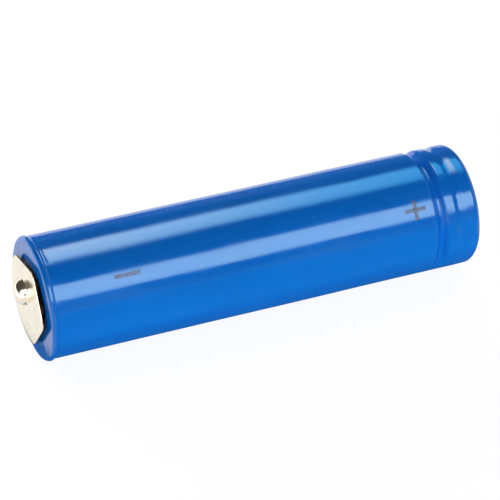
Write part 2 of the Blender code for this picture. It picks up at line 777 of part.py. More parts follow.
def make_vent_disc():
    """Dished burst disc. Its middle touches the perforated plate until it opens."""
    rim = STACK_TOP + CAP_SHEET + PTC + 2 * CLEARANCE
    dish = [(rim, STACK_RADIUS), (rim, 5.40 * MM), (rim + 0.55 * MM, 4.40 * MM), (rim + 0.70 * MM, 2.20 * MM)]
    dish += [(CID_FACE - CLEARANCE - VENT_SHEET, 1.00 * MM), (CID_FACE - CLEARANCE - VENT_SHEET, 0)]
    front = [(-depth, radius) for depth, radius in dish]
    back = [(-depth - VENT_SHEET, radius) for depth, radius in dish]
    turned("vent_disc", front + back[::-1], "aluminium", POSITIVE_X)


def make_vent_insulator():
    front = STACK_TOP + CAP_SHEET + PTC + VENT_SHEET + 3 * CLEARANCE
    length = CID_FACE - CLEARANCE - front
    inner, outer = 5.60 * MM, 6.95 * MM
    outline = washer_outline(length, inner, outer)
    turned("vent_insulator_ring", outline, "grey_plastic", behind_positive(CID_FACE - CLEARANCE))


def make_cid_plate():
    """Perforated plate that passes the current to the vent disc's middle."""
    x = behind_positive(CID_FACE + CID_SHEET)
    radius = 6.90 * MM
    hole_radius, hole_circle = 0.8 * MM, 3.9 * MM
    plate = turned("current_interrupt_plate", washer_outline(CID_SHEET, 0, radius), "aluminium", x)
    mesh_data = bmesh.new()
    for hole in range(6):
        angle = (hole + 0.5) * math.pi / 3
        add_drill(mesh_data, hole_radius, 4 * CID_SHEET, hole_circle, angle)
    combine(plate, add_cutter("interrupt_plate_holes", mesh_data, x), "DIFFERENCE")


def clear_scene():
    for obj in list(bpy.data.objects):
        bpy.data.objects.remove(obj, do_unlink=True)


def main():
    clear_scene()
    cell = bpy.data.objects.new("cell", None)
    bpy.context.collection.objects.link(cell)
    make_shrink_sleeve()
    make_can()
    make_negative_contact()
    make_board()
    make_board_spacer()
    make_base_paper()
    make_negative_strap()
    make_sense_strip()
    make_strip_tape()
    make_roll()
    make_roll_tape()
    make_core_pin()
    make_negative_tab()
    make_positive_tab()
    make_bottom_insulator()
    make_top_insulator()
    make_gasket()
    make_positive_cap()
    make_positive_washer()
    make_ptc_ring()
    make_vent_disc()
    make_vent_insulator()
    make_cid_plate()


main()
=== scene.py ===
"""Looks of a sleeved cylindrical lithium-ion cell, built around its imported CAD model.

The cell lies along X with its positive cap at +X, +Z up. Depths are measured inwards from the
sleeve's two flat ends. Angles run round the axis from +Y towards +Z.
"""

import json
import math

import bmesh
import bpy
from mathutils import Matrix, Vector, noise


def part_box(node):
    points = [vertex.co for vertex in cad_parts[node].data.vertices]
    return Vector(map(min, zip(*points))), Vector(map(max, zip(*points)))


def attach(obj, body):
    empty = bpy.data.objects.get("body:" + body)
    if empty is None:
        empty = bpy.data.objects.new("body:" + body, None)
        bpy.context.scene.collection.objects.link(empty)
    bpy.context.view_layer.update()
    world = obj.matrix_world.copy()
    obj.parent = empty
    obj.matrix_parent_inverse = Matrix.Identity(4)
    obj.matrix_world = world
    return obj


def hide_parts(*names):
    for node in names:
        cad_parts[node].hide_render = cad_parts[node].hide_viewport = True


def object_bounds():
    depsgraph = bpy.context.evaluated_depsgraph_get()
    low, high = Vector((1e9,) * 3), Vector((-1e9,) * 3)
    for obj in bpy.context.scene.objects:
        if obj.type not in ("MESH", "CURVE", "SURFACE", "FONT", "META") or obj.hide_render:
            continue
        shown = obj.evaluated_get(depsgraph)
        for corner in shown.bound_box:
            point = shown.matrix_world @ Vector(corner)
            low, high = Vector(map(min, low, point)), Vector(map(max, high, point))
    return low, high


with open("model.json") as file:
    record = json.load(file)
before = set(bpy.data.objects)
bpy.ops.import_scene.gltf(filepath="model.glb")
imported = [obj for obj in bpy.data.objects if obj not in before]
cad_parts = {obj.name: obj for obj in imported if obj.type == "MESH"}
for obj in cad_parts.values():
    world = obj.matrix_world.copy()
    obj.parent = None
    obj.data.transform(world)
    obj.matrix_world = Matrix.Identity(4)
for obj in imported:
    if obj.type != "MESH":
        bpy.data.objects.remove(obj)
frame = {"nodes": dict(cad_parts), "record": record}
cad_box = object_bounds()

MM = 0.001

# The sleeve's ends and radius, from the frame
CAD_COLUMNS = 40  # flats round the CAD sleeve and washer
CAP_COLUMNS = 32  # flats round the CAD cap
SLEEVE_LOW, SLEEVE_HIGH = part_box("shrink_sleeve")
NEGATIVE_X = SLEEVE_LOW.x
POSITIVE_X = SLEEVE_HIGH.x
RIM_RADIUS = SLEEVE_HIGH.z / math.cos(math.pi / CAD_COLUMNS)
FLARE = 0.20 * MM
RADIUS = RIM_RADIUS - FLARE  # of the barrel
FLOOR_Z = cad_box[0].z
JOINT_GAP = 0.04 * MM  # kept between touching pieces

# Sleeve
COLUMNS = 224
FILM = 0.12 * MM
NEGATIVE_OPENING = 5.00 * MM
POSITIVE_OPENING = 6.50 * MM
NEGATIVE_CORNER = 0.60 * MM
POSITIVE_CORNER = 1.05 * MM
LIP_EDGE = 6.35 * MM  # inside this radius the negative end sinks towards its opening
LIP_RINGS = 9  # from the opening to the edge
POSITIVE_LIP_EDGE = 7.9 * MM
POSITIVE_LIP_RINGS = 4
NEGATIVE_LIP_DIP = 0.28 * MM  # how far the film sinks at each opening
POSITIVE_LIP_DIP = 0.07 * MM
BEAD_CENTRE = 6.35 * MM
BEAD_HALF = 1.15 * MM
BEAD_DEPTH = 0.85 * MM
CRIMP_CENTRE = 3.20 * MM
CRIMP_HALF = 1.20 * MM
CRIMP_DEPTH = 0.17 * MM
GROOVE_START = BEAD_CENTRE + BEAD_HALF + 0.3 * MM  # depth from the positive end
# Depth and height of each fold where the film shrinks over the board, behind the rim
NECK_FOLDS = ((0.60, 0.20), (1.04, -0.06), (1.65, 0.0), (2.60, 0.0))
NECK_END = NECK_FOLDS[-1][0] * MM
# Rings of points along each stretch of the sleeve, from the negative end
NEGATIVE_CORNER_RINGS = 9
NECK_RINGS = 38
BARREL_RINGS = 54
GROOVE_RINGS = 64
POSITIVE_CORNER_RINGS = 10
INNER_SHARE = 3  # one ring in this many is kept inside

# Unevenness of the film: ripples round the cell, ripple length, height and seed
BROAD_SLACK = (1.6, 14 * MM, 0.030 * MM, 0)
LOCAL_SLACK = (4.0, 5 * MM, 0.007 * MM, 7)
FINE_TUCKS = (17, 0.9 * MM, 0.024 * MM, 0)
COARSE_TUCKS = (6, 1.6 * MM, 0.030 * MM, 3)
GROOVE_TUCKS = (9, 2.4 * MM, 0.022 * MM, 5)
NEGATIVE_SLACK_FADE = 4 * MM  # the slack grows to its full height over this depth
POSITIVE_SLACK_FADE = 2 * MM
TUCK_CENTRE = 0.9 * MM  # the rim's tucks, as a depth from the negative end
TUCK_HALF = 1.9 * MM
GROOVE_TUCK_END = 8.0 * MM
GROOVE_TUCK_FADE = 1.5 * MM
PLEATS = 34  # round the negative opening
PLEAT_REACH = 1.6 * MM
PLEAT_HEIGHT = 0.03 * MM
PLEAT_DRIFT = 3

STRIP_ANGLE = math.radians(-45)
STRIP_HALF = math.radians(15.5)
STRIP_EDGE = math.radians(3.5)
STRIP_RISE = 0.21 * MM
STRIP_REACH = 1.4  # above 1, the rise is whole before the barrel is reached

# The film stays taut over the grooves along the underside, between these angles
TAUT_START = math.radians(219)
TAUT_END = math.radians(335)
TAUT_EDGE = math.radians(24)

# Contact plate
CONTACT_FACE = -0.75 * MM  # depth of the plate's outer face
CONTACT_SHEET = 0.20 * MM
CONTACT_RADIUS = 7.15 * MM
FLAT_REACH = 5.85 * MM  # from the axis to each of the plate's flats
FLAT_ANGLES = [math.radians(angle) for angle in (79, 149, 219)]
PLATE_SOFTNESS = 26  # the higher, the crisper the plate's corners
FACING_LEAST = 0.1  # cosine, so that a flat turned away sets no bound
PLATE_BEVEL = 0.05 * MM
PLATE_RINGS = (1 / 6, 1 / 3, 1 / 2, 2 / 3, 5 / 6, 0.96)  # shares of the way from nub to edge
# Painted shade: past the next X the plate's side walls, legs and underside are coloured dark brown,
# standing in for the shade along and under the plate's edge
PLATE_SHADE_START = NEGATIVE_X + CONTACT_FACE + 0.04 * MM  # the plate's painted shade starts at this X
PLATE_SHADE_FADE = 0.03 * MM
PAINTED_PLATE_SHADE = (0.16, 0.11, 0.07)
NUB_HEIGHT = NEGATIVE_X + CONTACT_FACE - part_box("negative_contact")[0].x
NUB_RADIUS = 1.90 * MM
NUB_FLAT = 0.45 * MM  # radius of the small flat at the nub's tip
NUB_TIP_RINGS = (0.02, 0.5)  # shares of the tip's radius
NUB_TURN = 0.88 * math.pi / 2  # of the quarter circle down to the plate
NUB_FILLET = 0.25 * MM  # where the nub meets the plate
NUB_ASIDE = Vector((0, 1.40, 0.60)) * MM  # from the axis to the nub's middle
LEGS = 6
LEG_START = math.radians(52)
LEG_WIDTH = 1.20 * MM
LEG_SHEET = 0.20 * MM
LEG_BEND = 0.16 * MM
LEG_EDGE = 0.06 * MM  # chamfer
LEG_RADIUS = 4.30 * MM  # to the outside of each leg
FOOT_LENGTH = 1.10 * MM
CONTACT_COLUMNS = 120
BOARD_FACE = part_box("protection_board")[0].x

# Edges sharper than these angles are shown as edges
SHARP = math.radians(40)
PLATE_SHARP = math.radians(50)
JOINED_SHARP = math.radians(24)  # the plate, once its legs are joined on
CAP_SHARP = math.radians(35)

# Where the printed marks are, as angles up from -Y towards +Z
MINUS_DEPTH = 12.3 * MM
MINUS_RISE = math.radians(38.5)
PLUS_DEPTH = 10.4 * MM
PLUS_RISE = math.radians(37.3)
MINUS_DOTS = 13  # along each of its two rows
PLUS_DOTS = 11
POST_DOTS = 10  # along the plus's upright
DOT_PITCH = 0.31 * MM
DOT_RADIUS = 0.145 * MM
DOT_HEIGHT = 0.012 * MM
DOT_SIDES = 8
DOT_SUNK = 0.006 * MM  # how far a dot reaches into the film
DOT_TOP = 0.72  # its top's size over its base's

# Floor: how it looks to the camera, how it lights matt surfaces, and what reflections see in it
FLOOR_RADIUS = 3.0
FLOOR_GAP = 0.02 * MM
FLOOR_MATT = (0.15, 0.15, 0.15, 1)
FLOOR_GLOW = 0.925
FLOOR_GLOW_ON_CELL = 0.70
FLOOR_SEEN_BEHIND = (0.88, 0.88, 0.88)
FLOOR_SEEN_OUTER = (1.5, 1.5, 1.5)
FLOOR_SEEN_IN_FRONT = (0.08, 0.75, 1.5)
FLOOR_SEEN_IN_SHADOW = 0.08  # share of what is seen in front
# Where each reflected zone of the floor fades in, along Y or X
BEHIND_CELL = (23 * MM, 29 * MM)
CELL_SHADOW = (-15 * MM, -8 * MM)
BESIDE_NEGATIVE = (NEGATIVE_X - 1.5 * MM, NEGATIVE_X - 2.2 * MM)
OUTER_NEGATIVE = (NEGATIVE_X - 13 * MM, NEGATIVE_X - 24 * MM)
PAST_CAP = (POSITIVE_X + 11 * MM, POSITIVE_X + 15 * MM)
PAST_CAP_SIDE = (-45 * MM, -35 * MM)

# World
WORLD_FOR_CAMERA = 0.97
WORLD_FOR_DIFFUSE = 0.42
WORLD_FOR_GLOSS = 0.06
WORLD_BEYOND_CAP = 0.80
BEYOND_CAP = (0.70, 0.90)  # X of the directions in which it fades in

# Lights
LIGHT_DISTANCE = 0.60
LIGHT_FADE = (0.2, 0.8)  # shares of a light's length between which its level falls
TINT_TURN = (0.14, 0.56)  # and between which its colour turns
PLAIN_TINTS = ((1, 1, 1), (1, 1, 1))
REAR_TINTS = ((1.0, 0.97, 1.0), (0.09, 0.60, 1.0))

# Camera
CAMERA_AZIMUTH = math.radians(22.33)  # from -Y towards -X
CAMERA_ELEVATION = math.radians(33.89)
CAMERA_DISTANCE = 437.17 * MM
CAMERA_TARGET = Vector((NEGATIVE_X + 34.44 * MM, -0.06 * MM, -0.08 * MM))
CAMERA_LENS = 209.5  # millimetres, on a sensor of the next width
CAMERA_SENSOR = 36.0
CAMERA_RANGE = (0.01, 20.0)


# Materials


class Surface:
    """A material under construction: one Principled shader and the textures that drive it."""

    def __init__(self, name, roughness, metallic=0.0):
        self.material = bpy.data.materials.new(name)
        self.material.use_nodes = True
        self.tree = self.material.node_tree
        self.shader = self.tree.nodes["Principled BSDF"]
        self.shader.inputs["Roughness"].default_value = roughness
        self.shader.inputs["Metallic"].default_value = metallic
        self.place = self.node("ShaderNodeTexCoord").outputs["Object"]
        self.relief = None

    def node(self, kind, inputs=None, **settings):
        made = self.tree.nodes.new(kind)
        for key, value in settings.items():
            setattr(made, key, value)
        for key, value in (inputs or {}).items():
            if isinstance(value, bpy.types.NodeSocket):
                self.tree.links.new(value, made.inputs[key])
            else:
                made.inputs[key].default_value = value
        return made

    def link(self, output, key):
        self.tree.links.new(output, self.shader.inputs[key])

    def maths(self, operation, first, second):
        return self.node("ShaderNodeMath", {0: first, 1: second}, operation=operation).outputs[0]

    def noise(self, grain, stretch=(1, 1, 1), detail=4.0, roughness=0.55):
        """Noise with features of this many millimetres, longer along a stretched axis."""
        scale = [1 / (grain * MM * s) for s in stretch]
        mapped = self.node("ShaderNodeMapping", {"Vector": self.place, "Scale": scale})
        inputs = {"Vector": mapped.outputs["Vector"], "Scale": 1.0}
        inputs |= {"Detail": detail, "Roughness": roughness}
        return self.node("ShaderNodeTexNoise", inputs).outputs["Fac"]

    def cells(self, grain):
        """Rounded cells of this many millimetres: the distance from each one's middle."""
        scale = [1 / (grain * MM)] * 3
        mapped = self.node("ShaderNodeMapping", {"Vector": self.place, "Scale": scale})
        inputs = {"Vector": mapped.outputs["Vector"], "Scale": 1.0}
        return self.node("ShaderNodeTexVoronoi", inputs).outputs["Distance"]

    def spread(self, value, low, high, start=0.3, end=0.7):
        """A value between start and end, taken smoothly to the range from low to high."""
        inputs = {"Value": value, "From Min": start, "From Max": end, "To Min": low, "To Max": high}
        ranged = self.node("ShaderNodeMapRange", inputs, interpolation_type="SMOOTHSTEP")
        return ranged.outputs["Result"]

    def cloud(self, grain, low, high, stretch=(1, 1, 1)):
        """Noise of this many millimetres, taken to the range from low to high."""
        return self.spread(self.noise(grain, stretch), low, high)

    def blend(self, factor, first, second):
        """A colour between two colours, each given as three numbers or as a socket."""
        made = self.node("ShaderNodeMix", {0: factor}, data_type="RGBA")
        for key, value in ((6, first), (7, second)):
            if isinstance(value, bpy.types.NodeSocket):
                self.tree.links.new(value, made.inputs[key])
            else:
                made.inputs[key].default_value = (*value, 1.0)
        return made.outputs[2]

    def bump(self, height, depth):
        """Relief of this many millimetres, on top of any added before."""
        inputs = {"Height": height, "Distance": depth * MM, "Strength": 1.0}
        if self.relief:
            inputs["Normal"] = self.relief
        self.relief = self.node("ShaderNodeBump", inputs).outputs["Normal"]
        self.link(self.relief, "Normal")

    def edges(self):
        """1 on outward edges and 0 elsewhere, from the mesh's pointiness."""
        pointed = self.node("ShaderNodeNewGeometry").outputs["Pointiness"]
        return self.spread(pointed, 0.0, 1.0, 0.52, 0.62)


def shade(colour, factor):
    return tuple(min(1.0, channel * factor) for channel in colour)


def film_material():
    """Glossy blue shrink film: clouded, with a skin as faint as orange peel."""
    made = Surface("blue_film", 0.11)
    blue = (0.0, 0.150, 0.640)
    pale = (0.01, 0.20, 0.72)
    clouded = made.blend(made.cloud(6.0, 0.0, 1.0, (3, 1, 1)), shade(blue, 0.95), shade(blue, 1.04))
    made.link(made.blend(made.cloud(0.5, 0.0, 0.12), clouded, pale), "Base Color")
    made.shader.inputs["IOR"].default_value = 1.5
    made.shader.inputs["Specular Tint"].default_value = (0.56, 0.84, 0.86, 1.0)
    made.link(made.cloud(1.6, 0.09, 0.16, (5, 1, 1)), "Roughness")
    made.bump(made.noise(2.2, (4, 1, 1), 2.0), 0.006)
    made.bump(made.noise(0.25, (1, 1, 1), 2.0), 0.0006)
    return made.material


def ink_material():
    """Dark matt ink, unevenly laid."""
    made = Surface("mark_ink", 0.50)
    cold, warm = (0.035, 0.050, 0.085), (0.16, 0.125, 0.115)
    made.link(made.blend(made.cloud(0.35, 0.0, 1.0), cold, warm), "Base Color")
    made.shader.inputs["Specular IOR Level"].default_value = 0.25
    made.bump(made.noise(0.08), 0.004)
    return made.material


def metal_material(name, colour, roughness, grain, stretch=(1, 1, 1), scratches=0.003, painted_shade_from=None):
    """Plated or rolled sheet: cloudy colour, fine scratches and brighter worn edges.

    Past the X given last, the sheet is coloured dark brown and made rougher: painted shade for the shade
    along and under the plate's edge.
    """
    made = Surface(name, roughness, 1.0)
    clouds = made.cloud(grain * 2, 0.0, 1.0)
    cloudy = made.blend(clouds, shade(colour, 0.93), shade(colour, 1.04))
    wear_and_painted_shade = made.blend(made.edges(), cloudy, shade(colour, 1.10))
    streaks = made.noise(grain, stretch, 6.0, 0.65)
    uneven = made.spread(streaks, roughness * 0.75, roughness * 1.35)
    if painted_shade_from is not None:
        # Painted shade: past the given X the colour turns dark brown, standing in for the shade under
        # the plate's edge
        x = made.node("ShaderNodeSeparateXYZ", {"Vector": made.place}).outputs["X"]
        painted_shade = made.spread(x, 0.0, 1.0, painted_shade_from, painted_shade_from + PLATE_SHADE_FADE)
        wear_and_painted_shade = made.blend(painted_shade, wear_and_painted_shade, PAINTED_PLATE_SHADE)
        uneven = made.maths("MAXIMUM", uneven, painted_shade)
    made.link(wear_and_painted_shade, "Base Color")
    made.link(uneven, "Roughness")
    made.bump(made.noise(grain / 4, stretch, 3.0), scratches)
    return made.material


def plastic_material(name, colour, roughness, grain=0.35, relief=0.004):
    """Moulded or die-cut plastic, with a fine skin and slightly varied colour."""
    made = Surface(name, roughness)
    clouds = made.cloud(grain * 6, 0.0, 1.0)
    varied = made.blend(clouds, shade(colour, 0.90), shade(colour, 1.05))
    made.link(made.blend(made.edges(), varied, shade(colour, 1.25)), "Base Color")
    made.link(made.cloud(grain * 3, roughness * 0.85, roughness * 1.2), "Roughness")
    made.bump(made.noise(grain, detail=3.0), relief)
    return made.material


def laminate_material():
    """Dark solder mask over a glass weave."""
    made = Surface("board_laminate", 0.50)
    inputs = {"Vector": made.place, "Scale": 380.0, "Distortion": 1.0}
    threads = [made.node("ShaderNodeTexWave", inputs, bands_direction=axis) for axis in "YZ"]
    weave = made.maths("MULTIPLY", *[thread.outputs["Fac"] for thread in threads])
    mask = made.blend(weave, (0.008, 0.009, 0.012), (0.018, 0.019, 0.024))
    made.link(made.blend(made.cloud(0.8, 0.0, 0.5), mask, (0.010, 0.010, 0.011)), "Base Color")
    made.bump(weave, 0.012)
    return made.material


def paper_material():
    """Pressed insulating paper with long fibres."""
    made = Surface("fish_paper", 0.85)
    fibres = made.noise(0.22, (1, 7, 1), 6.0, 0.7)
    colour = made.blend(made.spread(fibres, 0.0, 1.0), (0.20, 0.30, 0.23), (0.38, 0.50, 0.41))
    made.link(made.blend(made.cloud(2.0, 0.0, 0.35), colour, (0.30, 0.34, 0.26)), "Base Color")
    made.bump(fibres, 0.02)
    return made.material


def coating_material(name, colour, foil):
    """Powder coat on foil: granular, with the bare foil showing through in specks."""
    made = Surface(name, 0.75)
    grains = made.cells(0.06)
    coat = made.blend(made.spread(grains, 0.0, 1.0, 0.1, 0.8), shade(colour, 1.5), shade(colour, 0.6))
    bare = made.spread(made.noise(0.5, detail=8.0, roughness=0.7), 0.0, 1.0, 0.66, 0.70)
    made.link(made.blend(bare, coat, foil), "Base Color")
    made.link(bare, "Metallic")
    made.bump(grains, 0.012)
    return made.material


def tape_material():
    """Amber tape, wrinkled along its length."""
    made = Surface("amber_tape", 0.30)
    wrinkles = made.noise(1.2, (6, 1, 1), 3.0)
    colour = made.blend(made.spread(wrinkles, 0.0, 1.0), (0.52, 0.22, 0.02), (0.72, 0.38, 0.05))
    made.link(colour, "Base Color")
    made.bump(wrinkles, 0.02)
    made.bump(made.noise(0.2), 0.003)
    return made.material


def separator_material():
    """White microporous film with a faint grain along the winding."""
    made = Surface("separator_film", 0.42)
    pores = made.noise(0.12, (6, 1, 1), 4.0)
    colour = made.blend(made.spread(pores, 0.0, 1.0), (0.80, 0.80, 0.78), (0.93, 0.93, 0.91))
    made.link(colour, "Base Color")
    made.bump(pores, 0.004)
    return made.material


def ceramic_material():
    """Fired, speckled body."""
    made = Surface("chip_ceramic", 0.5)
    speckle = made.cells(0.10)
    colour = made.blend(made.spread(speckle, 0.0, 1.0, 0.1, 0.7), (0.48, 0.38, 0.27), (0.34, 0.26, 0.19))
    made.link(colour, "Base Color")
    made.bump(made.noise(0.12), 0.006)
    return made.material


def make_materials():
    """One material for each slot of the record, and one for the printed marks."""
    return {
        "blue_film": film_material(),
        "mark_ink": ink_material(),
        # The plate's metal, with painted shade behind its outer face
        "warm_nickel": metal_material(
            "warm_nickel", (0.93, 0.84, 0.68), 0.17, 1.4, scratches=0.002, painted_shade_from=PLATE_SHADE_START
        ),
        "plated_steel": metal_material("plated_steel", (0.74, 0.72, 0.68), 0.26, 0.7),
        "nickel": metal_material("nickel", (0.72, 0.69, 0.62), 0.30, 0.5, (8, 1, 1)),
        "aluminium": metal_material("aluminium", (0.82, 0.83, 0.84), 0.34, 0.5, (1, 6, 1)),
        "board_laminate": laminate_material(),
        "chip_resin": plastic_material("chip_resin", (0.022, 0.022, 0.024), 0.55, 0.10, 0.008),
        "chip_ceramic": ceramic_material(),
        "fish_paper": paper_material(),
        "grey_plastic": plastic_material("grey_plastic", (0.42, 0.43, 0.45), 0.60, 0.12, 0.010),
        "white_plastic": plastic_material("white_plastic", (0.84, 0.84, 0.81), 0.42),
        "amber_tape": tape_material(),
        "ptc_polymer": plastic_material("ptc_polymer", (0.05, 0.05, 0.052), 0.60, 0.08),
        "copper_graphite": coating_material("copper_graphite", (0.09, 0.08, 0.075), (0.80, 0.42, 0.26)),
        "oxide_coat": coating_material("oxide_coat", (0.035, 0.035, 0.045), (0.80, 0.81, 0.82)),
        "separator_film": separator_material(),
    }


# Mesh work


def smooth(t):
    """0 below 0, 1 above 1 and a smooth step between them."""
    t = min(1.0, max(0.0, t))
    return t * t * (3 - 2 * t)


def bump_at(t):
    """1 at t = 0, falling smoothly to 0 at t = -1 and t = 1."""
    return math.cos(math.pi * t / 2) ** 2 if abs(t) < 1 else 0.0


def around(x, radius, angle):
    return Vector((x, radius * math.cos(angle), radius * math.sin(angle)))


def spaced(start, end, count):
    """Values from start to end, both included."""
    return [start + (end - start) * i / (count - 1) for i in range(count)]


def close_grid(mesh_data, rows, wrap_rows):
    """Faces between rings of points. The first and last rows are joined, or each is capped."""
    grid = [[mesh_data.verts.new(point) for point in row] for row in rows]
    count = len(grid)
    for i in range(count if wrap_rows else count - 1):
        this, following = grid[i], grid[(i + 1) % count]
        for j in range(len(this)):
            k = (j + 1) % len(this)
            mesh_data.faces.new((this[j], this[k], following[k], following[j]))
    if not wrap_rows:
        for row in (grid[0], grid[-1]):
            mesh_data.faces.new(row)


def add_piece(name, mesh_data, made_of, replaced=None, sharp=SHARP):
    """A visible piece of the cell, in this material, standing for a CAD node."""
    bmesh.ops.recalc_face_normals(mesh_data, faces=mesh_data.faces)
    mesh = bpy.data.meshes.new(name)
    mesh_data.to_mesh(mesh)
    mesh_data.free()
    mesh.shade_smooth()
    mesh.set_sharp_from_angle(angle=sharp)
    piece = bpy.data.objects.new(name, mesh)
    bpy.context.scene.collection.objects.link(piece)
    piece.data.materials.append(MATERIALS[made_of])
    if replaced:
        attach(piece, "root")
        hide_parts(replaced)
    return piece


def rounded(outline, radius, points):
    """A closed (x, radius) outline with each corner rounded, by up to this radius."""
    made = []
    count = len(outline)
    for i in range(count):
        here = Vector(outline[i])
        before = Vector(outline[i - 1]) - here
        after = Vector(outline[(i + 1) % count]) - here
        reach = min(radius, 0.45 * before.length, 0.45 * after.length)
        if here.y == 0:
            made.append(tuple(here))
            continue
        start = here + before.normalized() * reach
        end = here + after.normalized() * reach
        for t in spaced(0, 1, points):
            made.append(tuple(start.lerp(here, t).lerp(here.lerp(end, t), t)))
    return made


def turned(outline, columns):
    """A bmesh of revolution about X through a closed outline of (x, radius) points."""
    tiny = 1e-9  # radius of a ring on the axis, before its points are merged
    mesh_data = bmesh.new()
    rows = []
    for x, radius in outline:
        radius = max(radius, tiny)
        rows.append([around(x, radius, 2 * math.pi * j / columns) for j in range(columns)])
    close_grid(mesh_data, rows, wrap_rows=True)
    bmesh.ops.remove_doubles(mesh_data, verts=mesh_data.verts, dist=100 * tiny)
    return mesh_data


def carve(piece, cutter, operation):
    """Applies a Boolean and removes the cutter."""
    modifier = piece.modifiers.new("carve", "BOOLEAN")
    modifier.operation = operation
    modifier.solver = "EXACT"
    modifier.use_self = operation == "UNION"
    modifier.object = cutter
    graph = bpy.context.evaluated_depsgraph_get()
    made = bpy.data.meshes.new_from_object(piece.evaluated_get(graph))
    piece.modifiers.clear()
    piece.data = made
    bpy.data.objects.remove(cutter, do_unlink=True)


# Sleeve


def neck_height(depth):
    """Height of the film over the barrel's radius, between the rim and the barrel."""
    depth = depth / MM
    for (start, low), (end, high) in zip(NECK_FOLDS, NECK_FOLDS[1:]):
        if depth <= end:
            return (low + (high - low) * smooth((depth - start) / (end - start))) * MM
    return 0.0


def groove_depth(depth):
    """Depth of the two grooves, at this depth from the positive end."""
    bead = BEAD_DEPTH * bump_at((depth - BEAD_CENTRE) / BEAD_HALF)
    return bead + CRIMP_DEPTH * bump_at((depth - CRIMP_CENTRE) / CRIMP_HALF)


def corner(centre_x, centre_r, reach, direction, count):
    """A quarter circle from the end face to the barrel."""
    made = []
    for t in spaced(0, math.pi / 2, count):
        made.append((centre_x + direction * reach * math.cos(t), centre_r + reach * math.sin(t)))
    return made


def lip(end_x, dip, opening, edge, rim, count):
    """The flat end, sinking towards the opening inside the radius of its edge."""
    radii = spaced(opening, edge, count) + spaced(edge, rim, count)[1:]
    return [(end_x + dip * max(edge - radius, 0.0) / (edge - opening), radius) for radius in radii]


def sleeve_outline():
    """Outer (x, radius) points from the negative opening to the positive one."""
    rim = RIM_RADIUS - NEGATIVE_CORNER
    made = lip(NEGATIVE_X, NEGATIVE_LIP_DIP, NEGATIVE_OPENING, LIP_EDGE, rim, LIP_RINGS)[:-1]
    made += corner(NEGATIVE_X + NEGATIVE_CORNER, rim, NEGATIVE_CORNER, -1, NEGATIVE_CORNER_RINGS)
    for depth in spaced(NEGATIVE_CORNER, NECK_END, NECK_RINGS)[1:]:
        made.append((NEGATIVE_X + depth, RADIUS + neck_height(depth)))
    for x in spaced(NEGATIVE_X + NECK_END, POSITIVE_X - GROOVE_START, BARREL_RINGS)[1:]:
        made.append((x, RADIUS))
    for depth in spaced(GROOVE_START, POSITIVE_CORNER, GROOVE_RINGS)[1:-1]:
        made.append((POSITIVE_X - depth, RADIUS - groove_depth(depth)))
    rim = RADIUS - POSITIVE_CORNER
    turn = corner(POSITIVE_X - POSITIVE_CORNER, rim, POSITIVE_CORNER, 1, POSITIVE_CORNER_RINGS)
    end = lip(
        POSITIVE_X, -POSITIVE_LIP_DIP, POSITIVE_OPENING, POSITIVE_LIP_EDGE, rim, POSITIVE_LIP_RINGS
    )
    return made + turn[::-1] + end[::-1][1:]


def ripple(kind, outward, along):
    """Height of one kind of unevenness, at this direction from the axis and place along it."""
    turns, length, height, seed = kind
    return noise.noise(outward * turns + Vector((seed, 0, along / length))) * height


def film_relief(x, radius, angle):
    """How far wrinkles and slack lift the film along its normal."""
    depth = x - NEGATIVE_X
    far = POSITIVE_X - x
    outward = Vector((math.cos(angle), math.sin(angle), 0))
    slack = ripple(BROAD_SLACK, outward, x) + ripple(LOCAL_SLACK, outward, x)
    away_from_ends = smooth(depth / NEGATIVE_SLACK_FADE) * smooth(far / POSITIVE_SLACK_FADE)
    near_rim = bump_at((depth - TUCK_CENTRE) / TUCK_HALF)
    tucks = ripple(FINE_TUCKS, outward, depth) + ripple(COARSE_TUCKS, outward, depth)
    near_grooves = smooth((GROOVE_TUCK_END - far) / GROOVE_TUCK_FADE) * smooth(far / GROOVE_TUCK_FADE)
    relief = slack * away_from_ends + tucks * near_rim
    relief += ripple(GROOVE_TUCKS, outward, far) * near_grooves
    if depth < NEGATIVE_CORNER:
        near_opening = max(0.0, 1 - (radius - NEGATIVE_OPENING) / PLEAT_REACH)
        drift = PLEAT_DRIFT * noise.noise(outward * PLEAT_DRIFT)
        relief += near_opening * PLEAT_HEIGHT * math.sin(PLEATS * angle + drift)
    return relief


def strip_weight(angle):
    """1 over the strip under the film, falling to 0 beside it."""
    apart = abs((angle - STRIP_ANGLE + math.pi) % (2 * math.pi) - math.pi)
    return smooth((STRIP_HALF + STRIP_EDGE - apart) / (2 * STRIP_EDGE))


def taut_weight(angle):
    """1 where the film bridges the grooves, falling to 0 beside that."""
    return smooth((angle - TAUT_START) / TAUT_EDGE + 1) * smooth((TAUT_END - angle) / TAUT_EDGE + 1)


def rise_at(x, radius, angle):
    """How far the film rises over the strip and where it bridges the grooves."""
    on_barrel = NEGATIVE_CORNER < x - NEGATIVE_X and POSITIVE_CORNER < POSITIVE_X - x
    bridge = max(RADIUS - radius, 0.0) if on_barrel else 0.0
    reach = smooth((radius - POSITIVE_OPENING) / (RADIUS - POSITIVE_OPENING) * STRIP_REACH)
    return strip_weight(angle) * STRIP_RISE * reach + taut_weight(angle) * bridge


def outline_normals(outline):
    """The outward direction at each point of an outline."""
    made = []
    for i in range(len(outline)):
        before = Vector(outline[max(i - 1, 0)])
        after = Vector(outline[min(i + 1, len(outline) - 1)])
        along = (after - before).normalized()
        made.append(Vector((-along.y, along.x)))
    return made


